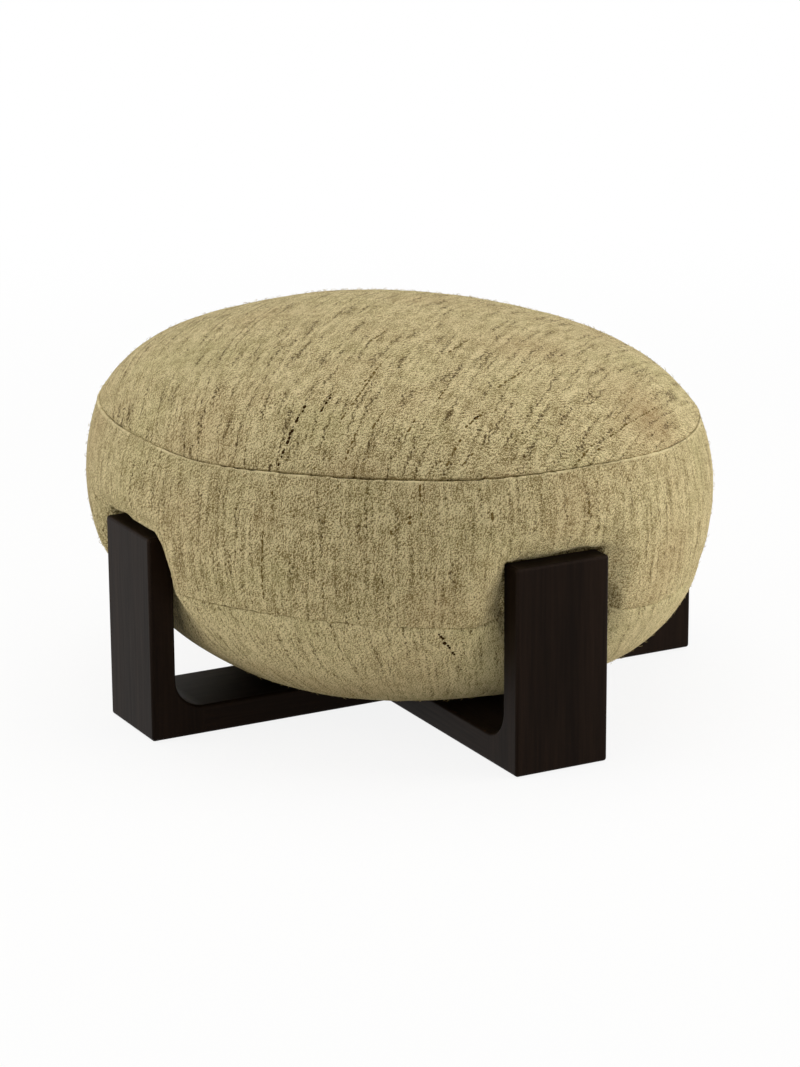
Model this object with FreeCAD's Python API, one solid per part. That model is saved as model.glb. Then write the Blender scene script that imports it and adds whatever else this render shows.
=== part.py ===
import FreeCAD, Part
import math
import os

# A round upholstered pouf held in a cross-shaped wooden cradle.
# Millimetres, +Z up. The origin is on the floor, under the crossing of the two rails.
# One rail runs along X, from the left post to the right post.
# The other runs along Y, from the front post (-Y) to the back post (+Y).

# Wooden cradle
BASE_SPAN = 616.0  # over the outer faces of two opposite posts
BOARD_WIDTH = 100.0  # rails and posts are cut from boards of one width
POST_THICKNESS = 26.0
POST_HEIGHT = 205.0  # from the underside of the wood
RAIL_THICKNESS = 29.0
COVE_RADIUS = 30.0  # hollow curve between the rail's top and the post's inner face
EDGE_ROUND = 3.0
LAP_CLEARANCE = 0.2  # on each side of a half-lap notch

# Dowels between rail ends and post feet
DOWEL_DIAMETER = 10.0
DOWEL_LENGTH = 50.0
DOWEL_EDGE_DISTANCE = 22.0  # from the board's edge to a dowel's axis
DOWEL_CLEARANCE = 0.05  # on the radius
DOWEL_END_ROOM = 1.0  # glue room past each end of a dowel

# Countersunk screws through the half lap
LAP_SCREW_EDGE_DISTANCE = 24.0  # from the board's edge to a screw's axis
LAP_SCREW_SHANK = 4.0
LAP_SCREW_COUNTERSINK = 2.0  # depth of the head, which flares at 45 degrees
LAP_SCREW_COVER = 4.0  # wood left above a screw's tip
LAP_SCREW_CLEARANCE = 0.05  # on the radius

# Felt pads under the post feet
PAD_DIAMETER = 36.0
PAD_THICKNESS = 3.0
PAD_PROUD = 1.0  # how far a pad stands below the wood
PAD_CLEARANCE = 0.2  # on the radius of its pocket

# Cushion outline
CUSHION_OVERHANG = 6.0  # the widest part of the cushion reaches this far past the posts
WIDEST_HEIGHT = 188.0  # heights are above the underside of the cover
TOP_SEAM_HEIGHT = 262.0
BOTTOM_SEAM_HEIGHT = 119.0
CROWN_RISE = 102.0  # from the top seam to the middle of the top panel
CROWN_TURN = 21.0  # degrees of slope where the flat crown turns into the shoulder
SEAM_SLOPE = 57.0  # degrees of slope where the top panel reaches its seam
BAND_BULGE_RADIUS = 198.0
POST_CLEARANCE = 0.4  # between the cover and a post

# Lean of the hand-stuffed cushion
LEAN = 2.15  # degrees that its seams slope
LEAN_HEADING = -28.0  # degrees from +X towards +Y in which the seams slope down
SEAT_SLIDE_X = -4.0  # the whole cushion sits off the middle
SEAT_SLIDE_Y = 3.0
CROWN_SLIDE_X = -20.0  # of the middle of the top panel over its seam
CROWN_SLIDE_Y = -6.0

# Plywood board
SEAT_BOARD_RADIUS = 180.0
SEAT_BOARD_THICKNESS = 18.0
BOARD_BEVEL_WIDTH = 26.0  # of the lower edge, which clears the cushion's curve
BOARD_BEVEL_HEIGHT = 8.0

# Upholstery layers
COVER_THICKNESS = 2.5
COVER_TURN_UNDER = 100.0  # width of cover that lies under the board
WADDING_THICKNESS = 18.0
FOAM_LOWER_THICKNESS = 100.0  # above the board
DUST_COVER_MARGIN = 40.0  # from the board's edge to the dust cover's edge
DUST_COVER_THICKNESS = 0.8

# Bolts, washers and T-nuts between rails and board
BOLT_EDGE_DISTANCE = 70.0  # from the board's edge to a bolt's axis
BOLT_DIAMETER = 6.0
BOLT_HEAD_OVERHANG = 2.0  # of the head around the shank
BOLT_HEAD_HEIGHT = 6.0
BOLT_HEAD_RECESS = 6.0  # from the rail's underside to the head
BOLT_HOLE_CLEARANCE = 0.5  # on the radius
THREAD_CLEARANCE = 0.05  # on the radius
WASHER_OVERHANG = 4.0  # of the washer around the head
WASHER_THICKNESS = 1.6
COUNTERBORE_CLEARANCE = 1.0  # around the washer
T_NUT_WALL = 1.0
T_NUT_FLANGE_OVERHANG = 6.0  # of the flange around the barrel
T_NUT_FLANGE_THICKNESS = 1.5
T_NUT_BARREL_COVER = 6.0  # board left below a barrel
T_NUT_CLEARANCE = 0.05  # on the radius

# Staples
STAPLE_CROWN = 10.0
STAPLE_WIDTH = 1.2
STAPLE_WIRE = 0.6
STAPLE_DEPTH = 9.0
STAPLE_PITCH = 24.0
COVER_STAPLE_MARGIN = 16.0  # from the cover's edge to its staples
DUST_STAPLE_MARGIN = 10.0  # from the dust cover's edge to its staples
DUST_STAPLE_RAIL_GAP = 12.0  # from a rail's side to the nearest staple

# Heights and distances that follow from the sizes above
WOOD_Z = PAD_PROUD
RAIL_MID_Z = WOOD_Z + RAIL_THICKNESS / 2
RAIL_TOP_Z = WOOD_Z + RAIL_THICKNESS
POST_TOP_Z = WOOD_Z + POST_HEIGHT
HALF_SPAN = BASE_SPAN / 2
HALF_WIDTH = BOARD_WIDTH / 2
POST_FACE = HALF_SPAN - POST_THICKNESS
RAIL_END = POST_FACE - COVE_RADIUS
CUSHION_RADIUS = HALF_SPAN + CUSHION_OVERHANG
UNDERSIDE_Z = RAIL_TOP_Z + DUST_COVER_THICKNESS
TOP_SEAM_Z = UNDERSIDE_Z + TOP_SEAM_HEIGHT
BOTTOM_SEAM_Z = UNDERSIDE_Z + BOTTOM_SEAM_HEIGHT
WIDEST_Z = UNDERSIDE_Z + WIDEST_HEIGHT
CUSHION_TOP_Z = TOP_SEAM_Z + CROWN_RISE
LEAN_SINK = SEAT_BOARD_RADIUS * math.tan(math.radians(LEAN))  # cut off to make the underside level
BODY_BOTTOM_Z = UNDERSIDE_Z - LEAN_SINK
BOARD_Z = UNDERSIDE_Z + COVER_THICKNESS
BOARD_TOP_Z = BOARD_Z + SEAT_BOARD_THICKNESS
FOAM_LOWER_Z = BOARD_TOP_Z + FOAM_LOWER_THICKNESS
BOLT_CIRCLE_RADIUS = SEAT_BOARD_RADIUS - BOLT_EDGE_DISTANCE
BOLT_HOLE_RADIUS = BOLT_DIAMETER / 2 + BOLT_HOLE_CLEARANCE
BOLT_HEAD_RADIUS = BOLT_DIAMETER / 2 + BOLT_HEAD_OVERHANG
BOLT_HEAD_Z = WOOD_Z + BOLT_HEAD_RECESS
BOLT_HEAD_TOP_Z = BOLT_HEAD_Z + BOLT_HEAD_HEIGHT
BOLT_SEAT_Z = BOLT_HEAD_TOP_Z + WASHER_THICKNESS
WASHER_RADIUS = BOLT_HEAD_RADIUS + WASHER_OVERHANG
T_NUT_TOP_Z = BOARD_TOP_Z + T_NUT_FLANGE_THICKNESS
T_NUT_BARREL_Z = BOARD_Z + T_NUT_BARREL_COVER
COVER_OPENING_RADIUS = SEAT_BOARD_RADIUS - COVER_TURN_UNDER
COVER_STAPLE_RADIUS = COVER_OPENING_RADIUS + COVER_STAPLE_MARGIN
DUST_COVER_RADIUS = SEAT_BOARD_RADIUS - DUST_COVER_MARGIN
DUST_STAPLE_RADIUS = DUST_COVER_RADIUS - DUST_STAPLE_MARGIN

UP = FreeCAD.Vector(0, 0, 1)
ORIGIN = FreeCAD.Vector(0, 0, 0)


def point(x, y, z):
    return FreeCAD.Vector(x, y, z)


def turned(shape, degrees):
    """A copy of a shape, turned about the vertical axis."""
    copy = shape.copy()
    copy.rotate(ORIGIN, UP, degrees)
    return copy


def four_ways(shape):
    """Copies towards the right, back, left and front posts."""
    return [turned(shape, quarter * 90.0) for quarter in range(4)]


def box(x0, x1, y0, y1, z0, z1):
    return Part.makeBox(x1 - x0, y1 - y0, z1 - z0, point(x0, y0, z0))


def slab(z0, z1):
    """Everything between two heights."""
    return box(-BASE_SPAN, BASE_SPAN, -BASE_SPAN, BASE_SPAN, z0, z1)


def cylinder(x, y, radius, z0, z1):
    """An upright cylinder between two heights."""
    return Part.makeCylinder(radius, z1 - z0, point(x, y, z0), UP)


def at_bolt(radius, z0, z1):
    """An upright cylinder on the axis of the right-hand seat bolt."""
    return cylinder(BOLT_CIRCLE_RADIUS, 0, radius, z0, z1)


def group(solids):
    return Part.makeCompound(solids)


# Wooden cradle


def dowel_pair(radius, half_length):
    """Two cylinders across the joint between the right-hand rail end and its post."""
    along = point(1, 0, 0)
    reach = HALF_WIDTH - DOWEL_EDGE_DISTANCE
    pair = []
    for y in (-reach, reach):
        start = point(RAIL_END - half_length, y, RAIL_MID_Z)
        pair.append(Part.makeCylinder(radius, 2 * half_length, start, along))
    return pair


def dowel_holes():
    radius = DOWEL_DIAMETER / 2 + DOWEL_CLEARANCE
    return group(dowel_pair(radius, DOWEL_LENGTH / 2 + DOWEL_END_ROOM))


def dowels():
    solids = []
    for dowel in dowel_pair(DOWEL_DIAMETER / 2, DOWEL_LENGTH / 2):
        solids += four_ways(dowel)
    return group(solids)


def pad(radius):
    """A felt disc under the middle of the right-hand post's foot."""
    return cylinder((RAIL_END + HALF_SPAN) / 2, 0, radius, 0, PAD_THICKNESS)


def post_outline():
    """The right-hand post seen from the front: an upright whose foot sweeps into a cove."""
    cove_top_z = RAIL_TOP_Z + COVE_RADIUS
    cove_middle = COVE_RADIUS * math.sqrt(0.5)
    corners = [
        point(RAIL_END, 0, RAIL_TOP_Z),
        point(RAIL_END, 0, WOOD_Z),
        point(HALF_SPAN, 0, WOOD_Z),
        point(HALF_SPAN, 0, POST_TOP_Z),
        point(POST_FACE, 0, POST_TOP_Z),
        point(POST_FACE, 0, cove_top_z),
    ]
    edges = [Part.LineSegment(a, b).toShape() for a, b in zip(corners, corners[1:])]
    deepest = point(RAIL_END + cove_middle, 0, cove_top_z - cove_middle)
    edges.append(Part.Arc(corners[-1], deepest, corners[0]).toShape())
    return Part.Wire(edges)


def is_rounded(edge):
    """Every edge of a post is rounded but those of its joint and the smooth start of the cove."""
    bounds = edge.BoundBox
    at_joint = bounds.XMax < RAIL_END + COVE_RADIUS / 2
    across = bounds.YLength > HALF_WIDTH
    at_cove_top = abs(bounds.ZMin - RAIL_TOP_Z - COVE_RADIUS) < COVE_RADIUS / 2
    return not at_joint and not (across and at_cove_top)


def post():
    """The right-hand post."""
    solid = Part.Face(post_outline()).extrude(point(0, BOARD_WIDTH, 0))
    solid.translate(point(0, -HALF_WIDTH, 0))
    solid = solid.makeFillet(EDGE_ROUND, [edge for edge in solid.Edges if is_rounded(edge)])
    pocket = pad(PAD_DIAMETER / 2 + PAD_CLEARANCE)
    return solid.cut(dowel_holes()).cut(pocket)


def bolt_hole():
    """A hole through the rail, counterbored from its underside for the washer."""
    pocket = at_bolt(WASHER_RADIUS + COUNTERBORE_CLEARANCE, WOOD_Z, BOLT_SEAT_Z)
    return pocket.fuse(at_bolt(BOLT_HOLE_RADIUS, WOOD_Z, RAIL_TOP_Z))


def lap_screws(clearance):
    """Countersunk screws in a square, driven up from the underside of the lap."""
    shank_radius = LAP_SCREW_SHANK / 2 + clearance
    head_radius = shank_radius + LAP_SCREW_COUNTERSINK
    tip_z = RAIL_TOP_Z - LAP_SCREW_COVER + clearance
    reach = HALF_WIDTH - LAP_SCREW_EDGE_DISTANCE
    screws = []
    for x in (-reach, reach):
        for y in (-reach, reach):
            foot = point(x, y, WOOD_Z)
            head = Part.makeCone(head_radius, shank_radius, LAP_SCREW_COUNTERSINK, foot, UP)
            shank = cylinder(x, y, shank_radius, WOOD_Z, tip_z)
            screws.append(shank.fuse(head).removeSplitter())
    return group(screws)


def rail(notch_z0, notch_z1):
    """A rail along X with rounded long edges and a half-lap notch between two heights."""
    solid = box(-RAIL_END, RAIL_END, -HALF_WIDTH, HALF_WIDTH, WOOD_Z, RAIL_TOP_Z)
    long_edges = [edge for edge in solid.Edges if edge.BoundBox.XLength > RAIL_END]
    solid = solid.makeFillet(EDGE_ROUND, long_edges)
    reach = HALF_WIDTH + LAP_CLEARANCE
    solid = solid.cut(box(-reach, reach, -BOARD_WIDTH, BOARD_WIDTH, notch_z0, notch_z1))
    for degrees in (0.0, 180.0):
        solid = solid.cut(turned(dowel_holes(), degrees))
        solid = solid.cut(turned(bolt_hole(), degrees))
    return solid.cut(lap_screws(LAP_SCREW_CLEARANCE))


# Upholstery


def arc(centre, radius, start, end):
    """An arc in the XZ plane between two directions, in degrees above level."""
    places = []
    for degrees in (start, (start + end) / 2, end):
        turn = math.radians(degrees)
        places.append(centre + point(radius * math.cos(turn), 0, radius * math.sin(turn)))
    return Part.Arc(*places).toShape()


def line(start, end):
    return Part.LineSegment(start, end).toShape()


def direction(centre, place):
    """The direction from an arc's centre to a point, in degrees above level."""
    return math.degrees(math.atan2(place.z - centre.z, place.x - centre.x))


def outer_crossing(centre_a, radius_a, centre_b, radius_b):
    """The crossing of two circles in the XZ plane that lies further from the axis."""
    apart = centre_b - centre_a
    distance = apart.Length
    unit = apart / distance
    along = (radius_a**2 - radius_b**2 + distance**2) / (2 * distance)
    aside = math.sqrt(radius_a**2 - along**2)
    middle = centre_a + unit * along
    offset = point(-unit.z, 0, unit.x) * aside
    return max(middle + offset, middle - offset, key=lambda place: place.x)


def crown_radii(seam_radius):
    """Radii of the crown and the shoulder, which meet smoothly at the crown's turn."""
    turn = math.radians(CROWN_TURN)
    slope = math.radians(SEAM_SLOPE)
    crown_wide = math.sin(turn)
    crown_high = 1 - math.cos(turn)
    shoulder_wide = math.sin(slope) - math.sin(turn)
    shoulder_high = math.cos(turn) - math.cos(slope)
    scale = crown_wide * shoulder_high - shoulder_wide * crown_high
    crown = (seam_radius * shoulder_high - CROWN_RISE * shoulder_wide) / scale
    shoulder = (CROWN_RISE * crown_wide - seam_radius * crown_high) / scale
    return crown, shoulder


def cushion_section(inset):
    """Half of the cushion's upright section, moved inwards by an inset."""
    band_centre = point(CUSHION_RADIUS - BAND_BULGE_RADIUS, 0, WIDEST_Z)
    band_radius = BAND_BULGE_RADIUS - inset

    seam_rise = TOP_SEAM_HEIGHT - WIDEST_HEIGHT
    seam_radius = band_centre.x + math.sqrt(BAND_BULGE_RADIUS**2 - seam_rise**2)
    crown_radius, shoulder_radius = crown_radii(seam_radius)
    crown_centre = point(0, 0, CUSHION_TOP_Z - crown_radius)
    slope = math.radians(SEAM_SLOPE)
    shoulder_x = seam_radius - shoulder_radius * math.sin(slope)
    shoulder_z = TOP_SEAM_Z - shoulder_radius * math.cos(slope)
    shoulder_centre = point(shoulder_x, 0, shoulder_z)

    tuck = (WIDEST_HEIGHT - BOTTOM_SEAM_HEIGHT) / BAND_BULGE_RADIUS
    lower_radius = (BOTTOM_SEAM_Z - BODY_BOTTOM_Z) / (1 - tuck)
    lower_x = band_centre.x + (BAND_BULGE_RADIUS - lower_radius) * math.sqrt(1 - tuck**2)
    lower_centre = point(lower_x, 0, BODY_BOTTOM_Z + lower_radius)

    crease = outer_crossing(shoulder_centre, shoulder_radius - inset, band_centre, band_radius)
    crown_end = 90.0 - CROWN_TURN
    shoulder_end = direction(shoulder_centre, crease)
    band_start = direction(band_centre, crease)
    band_end = -math.degrees(math.asin(tuck))
    top = point(0, 0, CUSHION_TOP_Z - inset)
    bottom = point(0, 0, BODY_BOTTOM_Z + inset)
    edges = [
        arc(crown_centre, crown_radius - inset, 90.0, crown_end),
        arc(shoulder_centre, shoulder_radius - inset, crown_end, shoulder_end),
        arc(band_centre, band_radius, band_start, band_end),
        arc(lower_centre, lower_radius - inset, band_end, -90.0),
        line(point(lower_x, 0, bottom.z), bottom),
        line(bottom, top),
    ]
    return Part.Face(Part.Wire(edges))


def upright_body(inset):
    """The cushion turned about an upright axis, before it leans."""
    return cushion_section(inset).revolve(ORIGIN, UP, 360.0)


def leaning(solid):
    """A copy of a solid of the upright cushion, leaning about its widest part and slid off the middle."""
    heading = math.radians(LEAN_HEADING)
    copy = solid.copy()
    copy.rotate(point(0, 0, WIDEST_Z), point(-math.sin(heading), math.cos(heading), 0), LEAN)
    copy.translate(point(SEAT_SLIDE_X, SEAT_SLIDE_Y, 0))
    return copy


def crown_part(upright):
    """What an upright solid has above the top seam, slid sideways as it rises and leaning."""
    slope_x = CROWN_SLIDE_X / CROWN_RISE
    slope_y = CROWN_SLIDE_Y / CROWN_RISE
    slide = FreeCAD.Matrix()
    slide.A13 = slope_x
    slide.A14 = -slope_x * TOP_SEAM_Z
    slide.A23 = slope_y
    slide.A24 = -slope_y * TOP_SEAM_Z
    above = upright.common(slab(TOP_SEAM_Z, CUSHION_TOP_Z))
    return leaning(above.transformGeometry(slide))


def seated_body(inset):
    """The leaning cushion, level underneath and pressed in where each post stands."""
    solid = leaning(upright_body(inset)).common(slab(UNDERSIDE_Z + inset, BASE_SPAN))
    room = POST_CLEARANCE + inset
    reach = HALF_WIDTH + room
    press = box(POST_FACE - room, BASE_SPAN, -reach, reach, 0, POST_TOP_Z + room)
    return solid.cut(four_ways(press))


def board_blank():
    """A round board with a bevelled lower edge, not yet bored."""
    inner = SEAT_BOARD_RADIUS - BOARD_BEVEL_WIDTH
    bevel = Part.makeCone(inner, SEAT_BOARD_RADIUS, BOARD_BEVEL_HEIGHT, point(0, 0, BOARD_Z), UP)
    rim = cylinder(0, 0, SEAT_BOARD_RADIUS, BOARD_Z + BOARD_BEVEL_HEIGHT, BOARD_TOP_Z)
    return bevel.fuse(rim)


def seat_bolt():
    head = at_bolt(BOLT_HEAD_RADIUS, BOLT_HEAD_Z, BOLT_HEAD_TOP_Z)
    return head.fuse(at_bolt(BOLT_DIAMETER / 2, BOLT_HEAD_TOP_Z, T_NUT_TOP_Z))


def washer():
    disc = at_bolt(WASHER_RADIUS, BOLT_HEAD_TOP_Z, BOLT_SEAT_Z)
    return disc.cut(at_bolt(BOLT_HOLE_RADIUS, WOOD_Z, RAIL_TOP_Z))


def t_nut_blank(clearance):
    """A flange on the board's top and a barrel in the board, not yet bored."""
    barrel_radius = BOLT_DIAMETER / 2 + THREAD_CLEARANCE + T_NUT_WALL + clearance
    flange = at_bolt(barrel_radius + T_NUT_FLANGE_OVERHANG, BOARD_TOP_Z, T_NUT_TOP_Z)
    return flange.fuse(at_bolt(barrel_radius, T_NUT_BARREL_Z, T_NUT_TOP_Z))


def t_nut():
    bore_radius = BOLT_DIAMETER / 2 + THREAD_CLEARANCE
    return t_nut_blank(0).cut(at_bolt(bore_radius, BOARD_Z, T_NUT_TOP_Z))


def staple(radius, crown_z):
    """A staple driven upwards, its crown lying along a circle about the axis."""
    half = STAPLE_CROWN / 2
    x0 = radius - STAPLE_WIDTH / 2
    x1 = radius + STAPLE_WIDTH / 2
    solid = box(x0, x1, -half, half, crown_z, crown_z + STAPLE_WIRE)
    for y0 in (-half, half - STAPLE_WIRE):
        leg = box(x0, x1, y0, y0 + STAPLE_WIRE, crown_z, crown_z + STAPLE_DEPTH)
        solid = solid.fuse(leg)
    return solid.removeSplitter()


def cover_staples():
    """A full ring of staples pressed into the cover's turned-under edge."""
    pattern = staple(COVER_STAPLE_RADIUS, UNDERSIDE_Z)
    count = int(2 * math.pi * COVER_STAPLE_RADIUS / STAPLE_PITCH)
    return group([turned(pattern, number * 360.0 / count) for number in range(count)])


def dust_cover_staples():
    """Rows of staples under the dust cover, in the quarters that the rails leave open."""
    pattern = staple(DUST_STAPLE_RADIUS, RAIL_TOP_Z - STAPLE_WIRE)
    first = math.asin((HALF_WIDTH + DUST_STAPLE_RAIL_GAP) / DUST_STAPLE_RADIUS)
    spread = math.pi / 2 - 2 * first
    gaps = int(spread * DUST_STAPLE_RADIUS / STAPLE_PITCH)
    staples = []
    for number in range(gaps + 1):
        degrees = math.degrees(first + spread * number / max(gaps, 1))
        staples += four_ways(turned(pattern, degrees))
    return group(staples)


def cradle_pieces():
    """Posts, rails and what joins them."""
    right, back, left, front = four_ways(post())
    return {
        "post_right": right,
        "post_back": back,
        "post_left": left,
        "post_front": front,
        "rail_left_right": rail(RAIL_MID_Z, POST_TOP_Z),
        "rail_front_back": turned(rail(0, RAIL_MID_Z), 90.0),
        "dowels": dowels(),
        "lap_screws": lap_screws(0),
        "felt_pads": group(four_ways(pad(PAD_DIAMETER / 2))),
    }


def fastener_pieces():
    """Bolts, washers and nuts that hold the cushion on the rails."""
    return {
        "seat_bolts": group(four_ways(seat_bolt())),
        "washers": group(four_ways(washer())),
        "t_nuts": group(four_ways(t_nut())),
    }


def cushion_pieces():
    """The board, the filling, the sewn cover and what is stapled under the board."""
    insets = (0, COVER_THICKNESS, COVER_THICKNESS + WADDING_THICKNESS)
    upright_outer, upright_lining, upright_core = [upright_body(inset) for inset in insets]
    outer, lining, core = [seated_body(inset) for inset in insets]
    below_top_seam = leaning(slab(0, TOP_SEAM_Z))
    below_bottom_seam = leaning(slab(0, BOTTOM_SEAM_Z))

    tacks = cover_staples()
    dust_tacks = dust_cover_staples()
    bolt_ways = group(four_ways(at_bolt(BOLT_HOLE_RADIUS, WOOD_Z, T_NUT_TOP_Z)))
    nut_seats = group(four_ways(t_nut_blank(T_NUT_CLEARANCE)))

    board = board_blank().common(lining)
    cover = outer.cut(lining).common(below_top_seam)
    wadding = lining.cut(core).common(below_top_seam)
    foam = core.cut(board).cut(nut_seats).common(below_top_seam)
    bottom_panel = cover.common(below_bottom_seam)
    bottom_panel = bottom_panel.cut(cylinder(0, 0, COVER_OPENING_RADIUS, 0, BOARD_Z))
    dust_cover = cylinder(0, 0, DUST_COVER_RADIUS, RAIL_TOP_Z, UNDERSIDE_Z)
    return {
        "top_panel": crown_part(upright_outer.cut(upright_lining)),
        "side_band": cover.cut(below_bottom_seam),
        "bottom_panel": bottom_panel.cut(bolt_ways).cut(tacks).cut(dust_tacks),
        "wadding_top": crown_part(upright_lining.cut(upright_core)),
        "wadding_wrap": wadding.cut(board).cut(nut_seats),
        "foam_lower": foam.common(slab(0, FOAM_LOWER_Z)),
        "foam_middle": foam.cut(slab(0, FOAM_LOWER_Z)),
        "foam_crown": crown_part(upright_core),
        "seat_board": board.cut(bolt_ways).cut(nut_seats).cut(tacks).cut(dust_tacks),
        "dust_cover": dust_cover.cut(bolt_ways).cut(dust_tacks),
        "cover_staples": tacks,
        "dust_cover_staples": dust_tacks,
    }


os.makedirs("parts", exist_ok=True)
for pieces in (cradle_pieces(), fastener_pieces(), cushion_pieces()):
    for name, shape in pieces.items():
        shape.exportStep("parts/" + name + ".step")
        print(name, len(shape.Solids), shape.isValid(), round(shape.Volume, 1))
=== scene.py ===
import math
import random
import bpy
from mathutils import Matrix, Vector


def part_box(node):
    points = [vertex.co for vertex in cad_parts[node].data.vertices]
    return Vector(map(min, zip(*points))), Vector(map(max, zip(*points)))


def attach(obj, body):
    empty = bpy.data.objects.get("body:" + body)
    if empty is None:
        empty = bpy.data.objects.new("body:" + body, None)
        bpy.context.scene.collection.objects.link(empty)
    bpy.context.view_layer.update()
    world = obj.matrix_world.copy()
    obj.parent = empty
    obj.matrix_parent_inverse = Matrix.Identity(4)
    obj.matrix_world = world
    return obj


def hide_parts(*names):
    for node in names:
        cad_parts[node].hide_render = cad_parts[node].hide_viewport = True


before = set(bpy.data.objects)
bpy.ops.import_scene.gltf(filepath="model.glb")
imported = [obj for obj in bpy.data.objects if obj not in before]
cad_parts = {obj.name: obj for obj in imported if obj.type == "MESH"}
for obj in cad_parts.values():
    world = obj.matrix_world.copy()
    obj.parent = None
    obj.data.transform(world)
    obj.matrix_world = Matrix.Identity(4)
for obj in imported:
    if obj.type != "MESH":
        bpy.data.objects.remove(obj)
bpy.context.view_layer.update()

from types import SimpleNamespace

import bmesh
import bpy
from bpy.props import FloatProperty, FloatVectorProperty, IntProperty, PointerProperty
from mathutils import Matrix, Vector, noise
from mathutils.bvhtree import BVHTree
from mathutils.interpolate import poly_3d_calc

bl_info = {
    "name": "Pouf in a wooden cradle",
    "version": (1, 0, 0),
    "blender": (4, 5, 0),
    "location": "3D View > Sidebar > Pouf",
    "description": "Sews the cover of a round pouf and finishes the wooden cradle that holds it",
    "category": "Object",
}

# The right post's outer face, half width and top, as x, y and z
POST_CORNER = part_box("post_right")[1]
POST_NAMES = ("post_left", "post_right", "post_front", "post_back")
POST_DIRECTIONS = (Vector((-1, 0)), Vector((1, 0)), Vector((0, -1)), Vector((0, 1)))
COVER_NAMES = ("top_panel_cover", "side_band_cover", "bottom_panel_cover")
WEAVE_MAP = "weave"


def linear(colour):
    """The linear colour, with an alpha of 1, of an sRGB hex value."""
    channels = [int(colour[place:place + 2], 16) / 255 for place in (1, 3, 5)]
    return tuple(c / 12.92 if c <= 0.04045 else ((c + 0.055) / 1.055) ** 2.4 for c in channels) + (1.0,)


# Settings


def length(name, description, default):
    """A length property in metres."""
    return FloatProperty(name=name, description=description, default=default, unit="LENGTH", precision=4)


def angle(name, description, default):
    """An angle property, given in degrees."""
    return FloatProperty(name=name, description=description, default=math.radians(default), unit="ROTATION")


def share(name, description, default):
    """A property that is a share of something."""
    return FloatProperty(name=name, description=description, default=default, subtype="FACTOR")


def slide(name, description, default):
    """A level movement in metres."""
    return FloatVectorProperty(name=name, description=description, default=default, size=2, unit="LENGTH")


def paint(name, description, default):
    """A colour property, given as an sRGB hex value."""
    return FloatVectorProperty(
        name=name, description=description, default=linear(default), size=4, subtype="COLOR", min=0, max=1
    )


def plain(name, description, default, unit="NONE"):
    """A plain number, with or without a unit."""
    return FloatProperty(name=name, description=description, default=default, unit=unit)


class CushionSettings(bpy.types.PropertyGroup):
    """Sizes of the cushion and of its sewn cover."""

    radius: length("Radius", "Half of the cushion's widest part", 0.314)
    top: length("Top", "Height of the crown above the floor, before it leans", 0.3948)
    top_seam: length("Top seam", "Height of the seam under the top panel, before it leans", 0.2928)
    widest: length("Widest part", "Height of the widest part of the side band", 0.2188)
    bottom_seam: length("Bottom seam", "Height of the seam under the side band, before it leans", 0.1498)
    underside: length("Underside", "Height of the cushion's flat underside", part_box("bottom_panel")[0].z)
    opening: length("Opening", "Radius of the opening under the seat board", 0.080)
    bulge: length("Bulge", "Radius of the side band's upright curve", 0.198)
    crown_turn: angle("Crown turn", "Slope where the flat crown turns into the shoulder", 21.0)
    seam_slope: angle("Seam slope", "Slope where the top panel reaches its seam", 57.0)
    cloth: length("Cloth thickness", "Thickness of the woven cover", 0.0018)
    lip: length("Lip", "Radius of the band's fold along the top seam", 0.0016)
    tuck: length("Tuck", "Radius of the top panel's fold along the top seam", 0.0024)
    crease: length("Crease", "How far the top panel dives in along the front of its seam", 0.0026)
    ridge: length("Ridge", "How far the lip stands proud of the band", 0.0011)
    fold: length("Fold", "Radius of the folds along the bottom seam", 0.0022)
    hem: length("Hem", "Width of cloth turned in along a seam", 0.009)
    lean: angle("Lean", "How far the seams slope down towards the lean's heading", 2.15)
    lean_heading: angle("Lean heading", "Compass direction of the lean, from +X towards +Y", -28.0)
    crown_shift: slide("Crown shift", "How far the crown has slid over the band", (-0.0125, -0.0103))
    belly_shift: slide("Belly shift", "How far the tucked part under the band has slid", (0.0238, -0.0036))
    seat_shift: slide("Seat shift", "How far the whole cushion sits off the middle", (-0.0059, 0.0043))
    post_thickness: length("Post thickness", "Thickness of an upright post", 0.026)
    post_gap: length("Post gap", "Air between the cover and a post", 0.0004)
    lip_height: length("Lip height", "How far above a post the cover bulges fully again", 0.010)
    lip_width: length("Lip width", "How far beside a post the cover bulges fully again", 0.015)
    weave_heading: angle("Weave heading", "Turn of the top panel's weave about the axis", 47.84214)


class CoverSettings(bpy.types.PropertyGroup):
    """Colours and weave of the cover."""

    light: paint("Light yarn", "Colour of the pale yarns", "#E0D0A0")
    dark: paint("Dark yarn", "Colour of the darker yarns", "#7C693E")
    # The gap colour is painted shade deep between the yarns of the cover; the dark slubs also take it as
    # their own paler colour
    gap: paint("Gaps", "Colour seen deep between the yarns", "#402C14")
    brown: paint("Brown drift", "Colour that parts of the cloth drift towards", "#A8865F")
    green: paint("Green drift", "Colour that other parts of the cloth drift towards", "#A3A468")
    rust: paint("Rust patch", "Colour of the patch where the dye took more strongly", "#8C6840")
    slub: paint("Slub", "Colour of the dark slubs", "#26190D")
    brown_slub: paint("Brown slub", "Colour of the fainter slubs", "#5A4627")
    bead: length("Bead", "From one bead of a slub to the next", 0.0048)
    strays: IntProperty(name="Stray fibres", description="How many fibres are teased out", default=4000)
    stray_length: length("Stray length", "Length of the longest stray fibres", 0.006)
    stray_width: length("Stray width", "Width of a stray fibre at its root", 0.00045)
    fibre_lean: angle("Fibre lean", "Slope of the band's fibres off the upright", 12.0)
    column: length("Column", "Width of one upright column of floats", 0.0033)
    dash: length("Dash", "From one float to the next in a column", 0.0068)
    slant: plain("Slant", "Slope of a float across its column", 0.15)


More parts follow.
